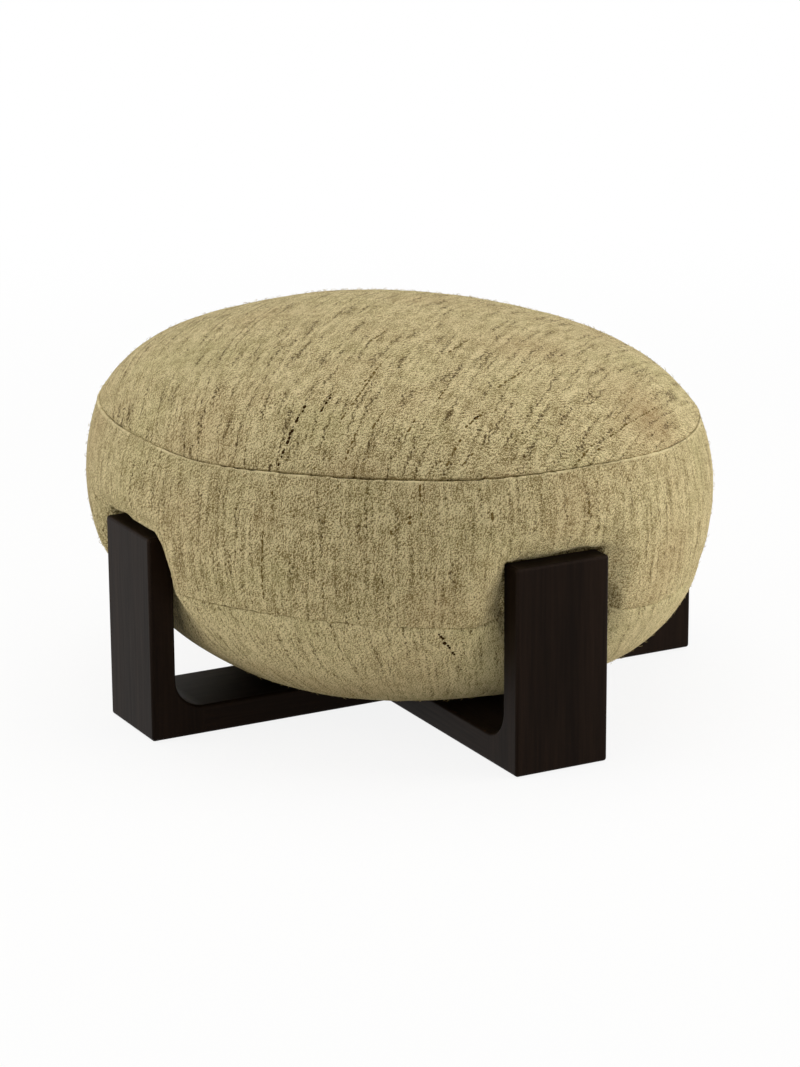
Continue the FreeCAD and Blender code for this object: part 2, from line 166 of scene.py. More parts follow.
class CradleSettings(bpy.types.PropertyGroup):
    """Colours of the wooden cradle."""

    stain: paint("Stain", "Colour of the stained wood", "#1C130D")
    pores: paint("Pores", "Colour of the grain lines", "#0A0604")
    # Colour of the painted highlight along the wood's edges
    painted_edge_highlight: paint("Worn edges", "Colour of the rubbed edges", "#7C6A5D")
    grain: length("Grain", "Distance between the grain lines", 0.0030)
    # Width of the painted highlight along the wood's edges
    edge: length("Edge", "Width of the rubbed edges", 0.0022)


class StageSettings(bpy.types.PropertyGroup):
    """Camera, floor and light."""

    azimuth: angle("Azimuth", "Turn of the camera round the pouf", -28.0)
    elevation: angle("Elevation", "Rise of the camera above level", 16.16)
    roll: angle("Roll", "Tilt of the camera about its line of sight", -0.342)
    distance: length("Distance", "From the camera to the point it looks at", 3.5809)
    aside: length("Aside", "How far right of the floor's middle the camera looks", -0.007682)
    above: length("Above", "How far above the floor's middle the camera looks", 0.148949)
    pad_height: length("Pad height", "How far the felt pads lift the wood", 0.001)
    focal: plain("Focal length", "Focal length of the lens", 118.14, unit="CAMERA")
    floor: paint("Floor", "Colour of the floor", "#F3F2EF")
    overhead: plain("Overhead", "Power of the overhead light", 40.0, unit="POWER")
    left: plain("Left", "Power of the light on the left", 25.5, unit="POWER")
    right: plain("Right", "Power of the light on the right", 40.0, unit="POWER")
    sky: share("Sky", "Strength of the light from all round", 0.3)


def values(settings):
    """A plain copy of a property group, which is quicker to read thousands of times."""
    read = SimpleNamespace()
    for name in settings.__annotations__:
        value = getattr(settings, name)
        setattr(read, name, value if isinstance(value, float) else Vector(value))
    return read


def clamp(value):
    return min(1.0, max(0.0, value))


def ease(value):
    """A smooth step from 0 to 1."""
    value = clamp(value)
    return value * value * (3 - 2 * value)


def bell(distance, width):
    return math.exp(-((distance / width) ** 2))


# Materials

# Sizes in the woven cover in millimetres, across and along the yarn where there are two
WANDER = 9.09
NUBBY_PATCH = 29.4
YARN_LUMP = 10.53
STROKE = (4.167, 62.5)
DRIFT = 111.0
# Step between two points of the nap whose difference in height is painted as relief light and shade
PAINTED_RELIEF_STEP = 0.6
# Hairs and fibres are finer than this, and are drawn a pixel or more wide so that they show
HAIR = (1.111, 1.429)
FIBRE = (2.2, 3.2)
# How much the painted relief light and shade, strokes, lumps, hairs and nubs make a yarn paler
PALE_WEIGHTS = (2.5, 1.0, 0.8, 2.2, 0.12)
NUB_HEIGHT = 0.11
# How far inside a fold's edge, in metres, the painted highlight starts and is full
HIGHLIGHT_START = 0.0028
HIGHLIGHT_FULL = 0.0012
# Scale of the wood's pattern along the grain, as a share of its scale across
GRAIN_STRETCH = 0.04
# Heights in metres between which the painted highlight on the wood's edges fades in
HIGHLIGHT_HEIGHTS = (0.06, 0.12)
# Where the dye took more strongly: middle, reach and strength
RUST_PATCHES = (((0.140, -0.222, 0.315), 0.065, 0.30),)


def per_metre(millimetres):
    """A pattern's scale from the real size of one of its grains."""
    return 1000 / millimetres


def add(tree, kind, inputs=(), **settings):
    """Adds a shader node with its settings, links or sets its inputs, and gives its outputs.

    Inputs are known by name or number. A Map Range reads from 1 to 2 and gives 3 to 4, and a
    Mix of colours goes by 0 from 6 to 7.
    """
    made = tree.nodes.new("ShaderNode" + kind)
    for name, value in settings.items():
        setattr(made, name, value)
    for key, value in dict(inputs).items():
        if isinstance(value, bpy.types.NodeSocket):
            tree.links.new(value, made.inputs[key])
        else:
            made.inputs[key].default_value = value
    return made.outputs


def new_material(name, **shader):
    """A new material, its node tree and its shader with some sockets set."""
    material = bpy.data.materials.new(name)
    material.use_nodes = True
    principled = material.node_tree.nodes["Principled BSDF"]
    for socket, value in shader.items():
        principled.inputs[socket.replace("_", " ")].default_value = value
    return material, material.node_tree, principled


def woven_wool(name, cover, lean=0.0, tone=0.0, streaks=0.0, patches=(), painted_edge_highlight=()):
    """Hand-spun marled wool in a loose weave, brushed until its fibres stand up.

    The eye sees short flecks, pale on one side of each nub and dark on the other, which is painted
    relief light and shade, nubs in staggered columns that come and go, thin dark streaks of painted
    shade where the yarn opens, and a slow drift between straw, brown and green. Places are those of
    the weave map, in metres. The fibres lean by an angle, tone makes the yarn paler, streaks is how
    deep the painted shade in the yarn's gaps runs, patches are where the dye is stronger, and the last
    argument gives the lengths at which a fold gets a painted highlight along its edge.
    """
    material, tree, shader = new_material(
        name, Roughness=0.95, Specular_IOR_Level=0.15,
        Sheen_Weight=0.3, Sheen_Roughness=0.45, Sheen_Tint=cover.light,
    )
    flat = add(tree, "UVMap", uv_map=WEAVE_MAP)[0]

    def wandering(point):
        """The point after the wander of hand-spun yarn, which is about its own width."""
        wander = {"Vector": point, "Scale": per_metre(WANDER), "Detail": 1.0}
        wander = add(tree, "TexNoise", wander, noise_dimensions="2D")[1]
        wander = add(tree, "VectorMath", {0: wander, 1: (0.5, 0.5, 0.5)}, operation="SUBTRACT")[0]
        wander = add(tree, "VectorMath", {0: wander, "Scale": cover.column * 2.0}, operation="SCALE")[0]
        return add(tree, "VectorMath", {0: point, 1: wander}, operation="ADD")[0]

    def drawn_out(point, size):
        """The point counted in grains, whose size differs across and along the yarn."""
        scales = (per_metre(size[0]), per_metre(size[1]), 1.0)
        return add(tree, "VectorMath", {0: point, 1: scales}, operation="MULTIPLY")[0]

    def nap(point):
        """The height of the brushed surface at a point: nubs of the weave and fibres over them."""
        across, along, _ = add(tree, "SeparateXYZ", {0: wandering(point)})
        leaning = add(tree, "Math", {0: along, 1: cover.slant, 2: across}, operation="MULTIPLY_ADD")[0]
        column = add(tree, "Math", {0: leaning, 1: math.pi / cover.column}, operation="MULTIPLY")[0]
        column = add(tree, "Math", {0: column}, operation="SINE")[0]
        step = add(tree, "Math", {0: along, 1: 2 * math.pi / cover.dash}, operation="MULTIPLY")[0]
        step = add(tree, "Math", {0: step}, operation="SINE")[0]
        nub = add(tree, "Math", {0: column, 1: step}, operation="MULTIPLY")[0]
        nub = add(tree, "Math", {0: nub, 1: nubby}, operation="MULTIPLY")[0]
        grains = (FIBRE[0] / 1000, FIBRE[1] / 1000, 1.0)
        turned = {"Vector": point, "Rotation": (0, 0, lean), "Scale": grains}
        turned = add(tree, "Mapping", turned, vector_type="TEXTURE")[0]
        fibres = {"Vector": turned, "Scale": 1.0, "Detail": 3.0, "Roughness": 0.75}
        fibres = add(tree, "TexNoise", fibres, noise_dimensions="2D")[0]
        return add(tree, "Math", {0: nub, 1: NUB_HEIGHT, 2: fibres}, operation="MULTIPLY_ADD")[0]

    nubby = {"Vector": flat, "Scale": per_metre(NUBBY_PATCH), "Detail": 2.0}
    nubby = add(tree, "TexNoise", nubby, noise_dimensions="2D")[0]
    nubby = add(tree, "MapRange", {"Value": nubby, 1: 0.35, 2: 0.65, 3: 0.15, 4: 1.0})[0]
    height = nap(flat)
    # Painted relief light and shade: how much higher the nap is a small step away. This makes one side of
    # each nub paler and the other darker
    relief_probe = add(tree, "VectorMath", {0: flat, 1: (-PAINTED_RELIEF_STEP / 1000, -PAINTED_RELIEF_STEP / 1000, 0)}, operation="ADD")[0]
    painted_relief = add(tree, "Math", {0: nap(relief_probe), 1: height}, operation="SUBTRACT")[0]

    # Yarn paler where the nap rises, partly the weave's own pattern and partly painted relief shade;
    # painted relief light and shade on the two sides of each nub; and long strokes that fade in and out,
    # and lumps of the spinning
    stroke = {"Vector": drawn_out(wandering(flat), STROKE), "Scale": 1.0, "Detail": 2.0}
    stroke = add(tree, "TexNoise", stroke, noise_dimensions="2D")[0]
    lumps = {"Vector": flat, "Scale": per_metre(YARN_LUMP), "Detail": 2.0}
    lumps = add(tree, "TexNoise", lumps, noise_dimensions="2D")[0]
    hairs = {"Vector": drawn_out(flat, HAIR), "Scale": 1.0, "Detail": 1.0}
    hairs = add(tree, "TexNoise", hairs, noise_dimensions="2D")[0]
    pale = height
    for part, weight in zip((painted_relief, stroke, lumps, hairs, nubby), PALE_WEIGHTS):
        pale = add(tree, "Math", {0: part, 1: weight, 2: pale}, operation="MULTIPLY_ADD")[0]
    pale = add(tree, "MapRange", {"Value": pale, 1: 2.19 - tone, 2: 2.95 - tone})[0]
    yarn = add(tree, "Mix", {0: pale, 6: cover.dark, 7: cover.light}, data_type="RGBA")[2]

    # Slow drift of the dye over a hand's width, and patches where it took more strongly
    drift = {"Vector": flat, "Scale": per_metre(DRIFT), "Detail": 2.0}
    drift = add(tree, "TexNoise", drift, noise_dimensions="2D")[0]
    brownish = add(tree, "MapRange", {"Value": drift, 1: 0.52, 2: 0.75, 3: 0.0, 4: 0.2})[0]
    greenish = add(tree, "MapRange", {"Value": drift, 1: 0.48, 2: 0.25, 3: 0.0, 4: 0.15})[0]
    yarn = add(tree, "Mix", {0: brownish, 6: yarn, 7: cover.brown}, data_type="RGBA")[2]
    yarn = add(tree, "Mix", {0: greenish, 6: yarn, 7: cover.green}, data_type="RGBA")[2]
    for middle, reach, strength in patches:
        place = add(tree, "TexCoord")["Object"]
        away = add(tree, "VectorMath", {0: place, 1: middle}, operation="DISTANCE")["Value"]
        near = {"Value": away, 1: reach, 2: 0.0, 3: 0.0, 4: strength}
        near = add(tree, "MapRange", near, interpolation_type="SMOOTHSTEP")[0]
        yarn = add(tree, "Mix", {0: near, 6: yarn, 7: cover.rust}, data_type="RGBA")[2]

    # Painted highlight: the fold along a seam is painted pale, broken up by the nubby patches
    rise = add(tree, "SeparateXYZ", {0: flat})[1]
    for edge in painted_edge_highlight:
        highlighted = {"Value": rise, 1: edge - HIGHLIGHT_START, 2: edge - HIGHLIGHT_FULL, 3: 0.0, 4: 0.9}
        highlighted = add(tree, "MapRange", highlighted)[0]
        highlighted = add(tree, "Math", {0: highlighted, 1: nubby}, operation="MULTIPLY")[0]
        yarn = add(tree, "Mix", {0: highlighted, 6: yarn, 7: cover.light}, data_type="RGBA")[2]

    # Painted shade in the gaps between fibres, and in streaks where a yarn opens and the gaps run together:
    # where the nap is low the yarn goes over to the gap colour
    streak = add(tree, "MapRange", {"Value": stroke, 1: 0.44, 2: 0.30, 3: 0.0, 4: streaks})[0]
    depth = add(tree, "Math", {0: height, 1: streak}, operation="SUBTRACT")[0]
    depth = add(tree, "Math", {0: painted_relief, 1: 0.6, 2: depth}, operation="MULTIPLY_ADD")[0]
    hidden = add(tree, "MapRange", {"Value": depth, 1: 0.38, 2: 0.23, 3: 0.0, 4: 0.9})[0]
    colour = add(tree, "Mix", {0: hidden, 6: yarn, 7: cover.gap}, data_type="RGBA")[2]
    tree.links.new(colour, shader.inputs["Base Color"])

    relief = add(tree, "Math", {0: lumps, 1: 0.5, 2: height}, operation="MULTIPLY_ADD")[0]
    bump = add(tree, "Bump", {"Height": relief, "Strength": 1.0, "Distance": 0.0018})[0]
    tree.links.new(bump, shader.inputs["Normal"])
    return material


def stained_wood(name, cradle, along):
    """Planed hardwood under a dark brown stain and a thin satin lacquer, its grain along one axis.

    The eye sees an almost black brown with faint lines along the grain, a soft gloss and
    edges made a little lighter by a painted highlight, but not near the floor.
    """
    material, tree, shader = new_material(
        name, Specular_IOR_Level=0.06, Specular_Tint=linear("#FFDCC8")
    )
    place = add(tree, "TexCoord")["Object"]
    stretch = [1 / cradle.grain] * 3
    stretch[along] *= GRAIN_STRETCH
    drawn = add(tree, "Mapping", {"Vector": place, "Scale": stretch})[0]
    lines = add(tree, "TexNoise", {"Vector": drawn, "Scale": 1.0, "Detail": 4.0, "Roughness": 0.6})[0]
    broad = add(tree, "TexNoise", {"Vector": drawn, "Scale": 0.12, "Detail": 2.0})[0]
    mixed = add(tree, "Math", {0: broad, 1: 0.8, 2: lines}, operation="MULTIPLY_ADD")[0]
    mixed = add(tree, "MapRange", {"Value": mixed, 1: 0.65, 2: 1.15})[0]
    colour = add(tree, "Mix", {0: mixed, 6: cradle.pores, 7: cradle.stain}, data_type="RGBA")[2]
    # Painted highlight: the stain goes over to a paler colour where the rounded edges turn away, and only
    # above a height
    rounded = add(tree, "Bevel", {"Radius": cradle.edge}, samples=6)[0]
    normal = add(tree, "NewGeometry")["Normal"]
    facing = add(tree, "VectorMath", {0: rounded, 1: normal}, operation="DOT_PRODUCT")["Value"]
    highlighted = add(tree, "MapRange", {"Value": facing, 1: 0.995, 2: 0.90, 3: 0.0, 4: 0.8})[0]
    upright = add(tree, "SeparateXYZ", {0: place})[2]
    upright = add(tree, "MapRange", {"Value": upright, 1: HIGHLIGHT_HEIGHTS[0], 2: HIGHLIGHT_HEIGHTS[1]})[0]
    highlighted = add(tree, "Math", {0: highlighted, 1: upright}, operation="MULTIPLY")[0]
    colour = add(tree, "Mix", {0: highlighted, 6: colour, 7: cradle.painted_edge_highlight}, data_type="RGBA")[2]
    tree.links.new(colour, shader.inputs["Base Color"])
    gloss = add(tree, "MapRange", {"Value": lines, 1: 0.3, 2: 0.7, 3: 0.49, 4: 0.45})[0]
    tree.links.new(gloss, shader.inputs["Roughness"])
    bump = add(tree, "Bump", {"Height": lines, "Strength": 0.15, "Distance": 0.0003})[0]
    tree.links.new(bump, shader.inputs["Normal"])
    return material


def grained(name, low, high, size, stretch, relief, **shader):
    """A plain finish of two colours that mix in grains, whose size and relief are in millimetres."""
    material, tree, principled = new_material(name, **shader)
    place = add(tree, "TexCoord")["Object"]
    scales = [factor * per_metre(size) for factor in stretch]
    drawn = add(tree, "Mapping", {"Vector": place, "Scale": scales})[0]
    grains = add(tree, "TexNoise", {"Vector": drawn, "Scale": 1.0, "Detail": 3.0, "Roughness": 0.6})[0]
    mixed = add(tree, "MapRange", {"Value": grains, 1: 0.35, 2: 0.65})[0]
    colour = add(tree, "Mix", {0: mixed, 6: low, 7: high}, data_type="RGBA")[2]
    tree.links.new(colour, principled.inputs["Base Color"])
    bump = add(tree, "Bump", {"Height": grains, "Strength": 0.6, "Distance": relief / 1000})[0]
    tree.links.new(bump, principled.inputs["Normal"])
    return material


EVEN = (1, 1, 1)
STEEL_NODES = ("lap_screws", "seat_bolts", "washers", "t_nuts", "cover_staples", "dust_cover_staples")
# Name, two colours, size of the grains and their stretch, relief, shader sockets and CAD nodes
FITTING_FINISHES = (
    # Turned beech: pale and close-grained, with small flecks
    ("turned_beech", "#B98F63", "#D7B488", 4.0, EVEN, 0.1, {"Roughness": 0.6}, ("dowels",)),
    # Rolled steel under bright zinc: cloudy blue-grey spangle
    ("zinc_plated_steel", "#A9ADB2", "#C9CCD0", 3.0, EVEN, 0.02, {"Metallic": 1.0, "Roughness": 0.35},
     STEEL_NODES),
    # Pressed wool felt: matt, dark and fibrous
    ("pressed_wool_felt", "#33302C", "#4C4842", 0.8, EVEN, 0.4, {"Roughness": 1.0}, ("felt_pads",)),
    # Birch plywood: peeled veneers, which show as pale and darker layers on the edge
    ("birch_plywood", "#B58E5C", "#DCBF8D", 1.8, (0.1, 0.02, 1), 0.1, {"Roughness": 0.65}, ("seat_board",)),
    # Cut polyurethane foam: open pores in pale yellow
    ("cut_foam", "#CDBE86", "#EFE6BE", 1.2, EVEN, 0.6, {"Roughness": 0.95},
     ("foam_lower", "foam_middle", "foam_crown")),
    # Bonded polyester wadding: white and woolly
    ("polyester_wadding", "#D9D7D1", "#F4F3EF", 4.0, (1, 1, 0.3), 1.5, {"Roughness": 1.0},
     ("wadding_top", "wadding_wrap")),
    # Spun-bonded cambric: thin black cloth with a faint embossed grain
    ("black_cambric", "#0F0F10", "#1F1F21", 1.0, EVEN, 0.2, {"Roughness": 0.85}, ("dust_cover",)),
)


def dress(node, material):
    """Gives a CAD node one material all over."""
    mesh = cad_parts[node].data
    mesh.materials.clear()
    mesh.materials.append(material)


# Shape of the cushion

FOLD_STEPS = 5
HEM_STEPS = 3
# Wander of the hand-sewn seams: middle and width in degrees of turn, and rise in metres
TOP_SEAM_WAVES = ((67.0, 17.0, -0.0050), (-10.0, 15.0, 0.0045))
BOTTOM_SEAM_WAVES = ((-30.0, 13.0, -0.0065), (42.0, 22.0, 0.0035))
SEAM_WAVE_REACH = 0.030
# The underside stays where the seat board holds it out to a radius, and slides freely further out
BOARD_HOLD = 0.13
BOARD_FADE = 0.12


def on_arc(arc, part):
    """The point a share of the way along an arc of (centre x, centre z, radius, start, end)."""
    centre_x, centre_z, radius, start, end = arc
    turn = start + (end - start) * part
    return Vector((centre_x + radius * math.cos(turn), centre_z + radius * math.sin(turn)))


def arc_length(arc):
    return abs(arc[2] * (arc[4] - arc[3]))


def arc_run(arc, steps):
    """Points of an arc at lengths along it."""
    whole = arc_length(arc)
    return [on_arc(arc, step / whole) for step in steps]


def section_arcs(s):
    """The arcs of the cushion's upright section: crown, shoulder, band and lower curve."""
    band_x = s.radius - s.bulge
    top_turn = math.asin((s.top_seam - s.widest) / s.bulge)
    low_turn = math.asin((s.widest - s.bottom_seam) / s.bulge)
    seam_x = band_x + s.bulge * math.cos(top_turn)
    rise = s.top - s.top_seam
    crown_wide = math.sin(s.crown_turn)
    crown_high = 1 - math.cos(s.crown_turn)
    shoulder_wide = math.sin(s.seam_slope) - crown_wide
    shoulder_high = math.cos(s.crown_turn) - math.cos(s.seam_slope)
    scale = crown_wide * shoulder_high - shoulder_wide * crown_high
    crown_radius = (seam_x * shoulder_high - rise * shoulder_wide) / scale
    shoulder_radius = (rise * crown_wide - seam_x * crown_high) / scale
    shoulder_x = seam_x - shoulder_radius * math.sin(s.seam_slope)
    shoulder_z = s.top_seam - shoulder_radius * math.cos(s.seam_slope)
    lower_radius = (s.bottom_seam - s.underside) / (1 - math.sin(low_turn))
    lower_x = band_x + (s.bulge - lower_radius) * math.cos(low_turn)
    quarter = math.pi / 2
    crown_end = quarter - s.crown_turn
    return {
        "crown": (0.0, s.top - crown_radius, crown_radius, quarter, crown_end),
        "shoulder": (shoulder_x, shoulder_z, shoulder_radius, crown_end, quarter - s.seam_slope),
        "band": (band_x, s.widest, s.bulge, top_turn, -low_turn),
        "lower": (lower_x, s.underside + lower_radius, lower_radius, -low_turn, -quarter),
    }


def seam_inward(arcs):
    """The directions, into the cushion, in which the cloth is turned in along the two seams."""
    slope = (arcs["shoulder"][4] + arcs["band"][3]) / 2
    upper = Vector((-math.cos(slope), -math.sin(slope)))
    lower = Vector((-math.cos(arcs["band"][4]), -math.sin(arcs["band"][4])))
    return upper, lower


def spaced(reach, coarse, fine, near):
    """Steps along a length from 0 to reach, coarse at first and fine over the last stretch."""
    far = max(1, round((reach - near) / coarse))
    close = round(near / fine)
    steps = [(reach - near) * step / far for step in range(far)]
    return steps + [reach - near + near * step / close for step in range(close + 1)]


def fold_in(profile, inward, radius, hem):
    """Adds a fold at a profile's end: the cloth turns inward round a radius and ends in a hem."""
    end = profile[-1]
    tangent = (profile[-1] - profile[-2]).normalized()
    for step in range(1, FOLD_STEPS + 1):
        turn = math.radians(90 * step / FOLD_STEPS)
        profile.append(end + tangent * radius * math.sin(turn) + inward * radius * (1 - math.cos(turn)))
    for step in range(1, HEM_STEPS + 1):
        profile.append(end + tangent * radius + inward * (radius + hem * step / HEM_STEPS))


def spun(profile, segments):
    """Turns a profile of (radius, height) points about the upright axis, numbering its rows."""
    shell = bmesh.new()
    row = shell.verts.layers.int.new("row")
    verts = []
    for number, (radius, height) in enumerate(profile):
        vert = shell.verts.new((0, radius, height))
        vert[row] = number
        verts.append(vert)
    edges = [shell.edges.new(pair) for pair in zip(verts, verts[1:])]
    bmesh.ops.spin(
        shell, geom=verts + edges, cent=(0, 0, 0), axis=(0, 0, 1), angle=2 * math.pi,
        steps=segments, use_merge=True,
    )
    bmesh.ops.remove_doubles(shell, verts=shell.verts, dist=1e-6)
    bmesh.ops.recalc_face_normals(shell, faces=shell.faces)
    return shell


def turn_of(place):
    """The turn about the axis, 0 towards the front post and positive towards the left one."""
    return math.atan2(-place.x, -place.y)


def seam_drift(turn, waves):
    """How far a hand-sewn seam wanders up or down at a turn, in metres."""
    return sum(rise * bell(math.degrees(turn) - middle, width) for middle, width, rise in waves)


def settle(place, s):
    """Where a point of the true round cushion lies in the settled one, which leans a little."""
    up = clamp((place.z - s.top_seam) / (s.top - s.top_seam))
    down = clamp((s.bottom_seam - place.z) / (s.bottom_seam - s.underside))
    outward = ease((place.xy.length - BOARD_HOLD) / BOARD_FADE)
    held = 1 - down * (1 - outward)
    moved = place.copy()
    slid = s.crown_shift * up + s.belly_shift * down + s.seat_shift
    moved.xy += slid * held
    heading = Vector((math.cos(s.lean_heading), math.sin(s.lean_heading)))
    low = clamp((place.z - s.underside) / (s.bottom_seam - s.underside))
    moved.z -= math.tan(s.lean) * moved.xy.dot(heading) * low
    turn = turn_of(place)
    for seam, waves in ((s.top_seam, TOP_SEAM_WAVES), (s.bottom_seam, BOTTOM_SEAM_WAVES)):
        moved.z += seam_drift(turn, waves) * bell(place.z - seam, SEAM_WAVE_REACH) * outward
    return moved


def press(place, s):
    """Holds a point of the cover back where a post stands, and rounds it out beside and over the post."""
    moved = place.copy()
    limit = POST_CORNER.x - s.post_thickness - s.post_gap
    for direction in POST_DIRECTIONS:
        reach = moved.xy.dot(direction)
        if reach <= limit:
            continue
        beside = abs(moved.xy.cross(direction)) - POST_CORNER.y - s.post_gap
        over = moved.z - POST_CORNER.z - s.post_gap
        away = math.hypot(max(beside, 0) / s.lip_width, max(over, 0) / s.lip_height)
        if away < 1:
            hold = 1 - math.sqrt(1 - (1 - away) ** 2)
            moved.xy -= direction * (reach - limit) * hold
    return moved


# Stuffing

# Where the last simulation moved the cover, which is empty before it
STUFFING = {}
FORM_VOXEL = 0.006
FORM_SEGMENTS = 240
FORM_FLAT_STEPS = 20
FORM_FRAMES = 20
FORM_PRESSURE = 4.0
FORM_CAP = 0.022
FORM_GAP = 0.001
# How firmly the form is pinned, and how much of that it loses where it is free to swell
FORM_PIN = 0.9
FORM_GIVE = 0.85
# How far from a post the cover swells, from which height, and how much higher it does so fully
SWELL_REACH = 0.045
SWELL_FROM = 0.06
SWELL_FADE = 0.05


def whole_profile(s):
    """The closed section of the cushion in even steps, from the crown to the middle of its underside."""
    profile = []
    for arc in section_arcs(s).values():
        count = max(2, round(arc_length(arc) / FORM_VOXEL))
        profile += [on_arc(arc, step / count) for step in range(count)]
    end = on_arc(section_arcs(s)["lower"], 1.0)
    inward = [1 - step / FORM_FLAT_STEPS for step in range(FORM_FLAT_STEPS + 1)]
    return profile + [Vector((end.x * part, end.y)) for part in inward]


def mesh_object(name, shell):
    """A new object at the origin with a bmesh's shape."""
    mesh = bpy.data.meshes.new(name)
    shell.to_mesh(mesh)
    shell.free()
    made = bpy.data.objects.new(name, mesh)
    bpy.context.scene.collection.objects.link(made)
    return made


def as_shown(piece):
    """A plain mesh of an object as its modifiers leave it."""
    graph = bpy.context.evaluated_depsgraph_get()
    return bpy.data.meshes.new_from_object(piece.evaluated_get(graph))


def post_dummy(direction, s):
    """A plain block in a post's place that the swelling cover meets."""
    block = bmesh.new()
    bmesh.ops.create_cube(block, size=1)
    depth = s.post_thickness
    width = 2 * POST_CORNER.y
    middle = direction.to_3d() * (POST_CORNER.x - depth / 2) + Vector((0, 0, POST_CORNER.z / 2))
    sides = Vector((abs(direction.x), abs(direction.y), 0)) * (depth - width)
    bmesh.ops.scale(block, vec=sides + Vector((width, width, POST_CORNER.z)), verts=block.verts)
    bmesh.ops.translate(block, vec=middle, verts=block.verts)
    dummy = mesh_object("post_dummy", block)
    dummy.modifiers.new("Hold", "COLLISION")
    dummy.collision.thickness_outer = FORM_GAP
    return dummy


def freedom(place):
    """How freely the cover may move at a point: 1 beside and over the posts, little elsewhere."""
    loosest = 0.0
    for direction in POST_DIRECTIONS:
        if place.xy.dot(direction) > 0:
            beside = max(abs(place.xy.cross(direction)) - POST_CORNER.y, 0)
            over = max(place.z - POST_CORNER.z, 0)
            loosest = max(loosest, bell(math.hypot(beside, over), SWELL_REACH))
    return loosest * ease((place.z - SWELL_FROM) / SWELL_FADE)


def swell(s):
    """Lets a pressed copy of the cushion swell as cloth under pressure, and keeps where it went."""
    shell = spun(whole_profile(s), FORM_SEGMENTS)
    for vert in shell.verts:
        vert.co = press(settle(vert.co, s), s)
    form = mesh_object("stuffing_form", shell)
    even = form.modifiers.new("Even", "REMESH")
    even.mode = "VOXEL"
    even.voxel_size = FORM_VOXEL
    form.data = as_shown(form)
    form.modifiers.remove(even)
    start = [vert.co.copy() for vert in form.data.vertices]

    held = form.vertex_groups.new(name="held")
    for number, place in enumerate(start):
        held.add([number], FORM_PIN - FORM_GIVE * freedom(place), "REPLACE")
    cloth = form.modifiers.new("Cover", "CLOTH")
    cloth.settings.quality = 5
    cloth.settings.use_pressure = True
    cloth.settings.uniform_pressure_force = FORM_PRESSURE
    cloth.settings.effector_weights.gravity = 0
    cloth.settings.vertex_group_mass = held.name
    cloth.settings.pin_stiffness = 1.0
    cloth.collision_settings.use_collision = True
    cloth.collision_settings.distance_min = FORM_GAP
    cloth.collision_settings.use_self_collision = False
    cloth.point_cache.frame_start = 1
    cloth.point_cache.frame_end = FORM_FRAMES
    dummies = [post_dummy(direction, s) for direction in POST_DIRECTIONS]
    for number in range(1, FORM_FRAMES + 1):
        bpy.context.scene.frame_set(number)
    swollen = as_shown(form)
    moves = []
    for vert, place in zip(swollen.vertices, start):
        move = vert.co - place
        moves.append(move * min(1.0, FORM_CAP / max(move.length, 1e-9)))
    faces = [tuple(face.vertices) for face in form.data.polygons]
    STUFFING.update(tree=BVHTree.FromPolygons(start, faces), start=start, faces=faces, moves=moves)
    for spent in (form, *dummies):
        bpy.data.objects.remove(spent)
    bpy.context.scene.frame_set(1)


def swelling(place):
    """How far the stuffing moves the cover at a point, by the nearest face of the swollen form."""
    total = Vector((0, 0, 0))
    if STUFFING:
        nearest, _, number, _ = STUFFING["tree"].find_nearest(place)
        corners = STUFFING["faces"][number]
        weights = poly_3d_calc([STUFFING["start"][corner] for corner in corners], nearest)
        for corner, weight in zip(corners, weights):
            total += STUFFING["moves"][corner] * weight
    return total


# Cover

SEGMENTS = 480
CROWDING = 0.10
CROWN_STEPS = 50
UNDERSIDE_STEPS = 10
RIDGE_FADE = 0.004
# A number for each panel that makes its lumps and puckers its own
TOP_SEED = 3.0
BAND_SEED = 17.0
BOTTOM_SEED = 29.0
# Lumps of the stuffing: how many to a metre and their height in metres
STUFFING_LUMPS = ((14, 0.0011), (46, 0.0004))
# Puckers along a seam: how many to a radian of turn, their height and how far they reach from it
PUCKERS = ((39, 0.0010, 0.012), (130, 0.0009, 0.005))
# Where along the seam, in degrees of turn, the crease is deepest, how wide it is, and its reach
CREASE_MIDDLE = 26
CREASE_WIDTH = 24
CREASE_REACH = 0.0035


def crowd(shell):
    """Draws the columns of a spun shell closer together behind the posts, where the cloth bends most."""
    for vert in shell.verts:
        turn = turn_of(vert.co)
        closer = turn - CROWDING * math.sin(len(POST_NAMES) * turn)
        radius = vert.co.xy.length
        vert.co.xy = (-radius * math.sin(closer), -radius * math.cos(closer))


def measured(profile, start):
    """The length along a profile up to each of its points."""
    lengths = [start]
    for one, other in zip(profile, profile[1:]):
        lengths.append(lengths[-1] + (other - one).length)
    return lengths


def map_weave(shell, lengths, spread):
    """Writes the weave map in metres; spread turns (turn, length along) into flat coordinates."""
    row = shell.verts.layers.int["row"]
    layer = shell.loops.layers.uv.new(WEAVE_MAP)
    for face in shell.faces:
        middle = turn_of(face.calc_center_median())
        for loop in face.loops:
            turn = turn_of(loop.vert.co)
            if abs(turn - middle) > math.pi:
                turn += math.copysign(2 * math.pi, middle)
            loop[layer].uv = spread(turn, lengths[loop.vert[row]])


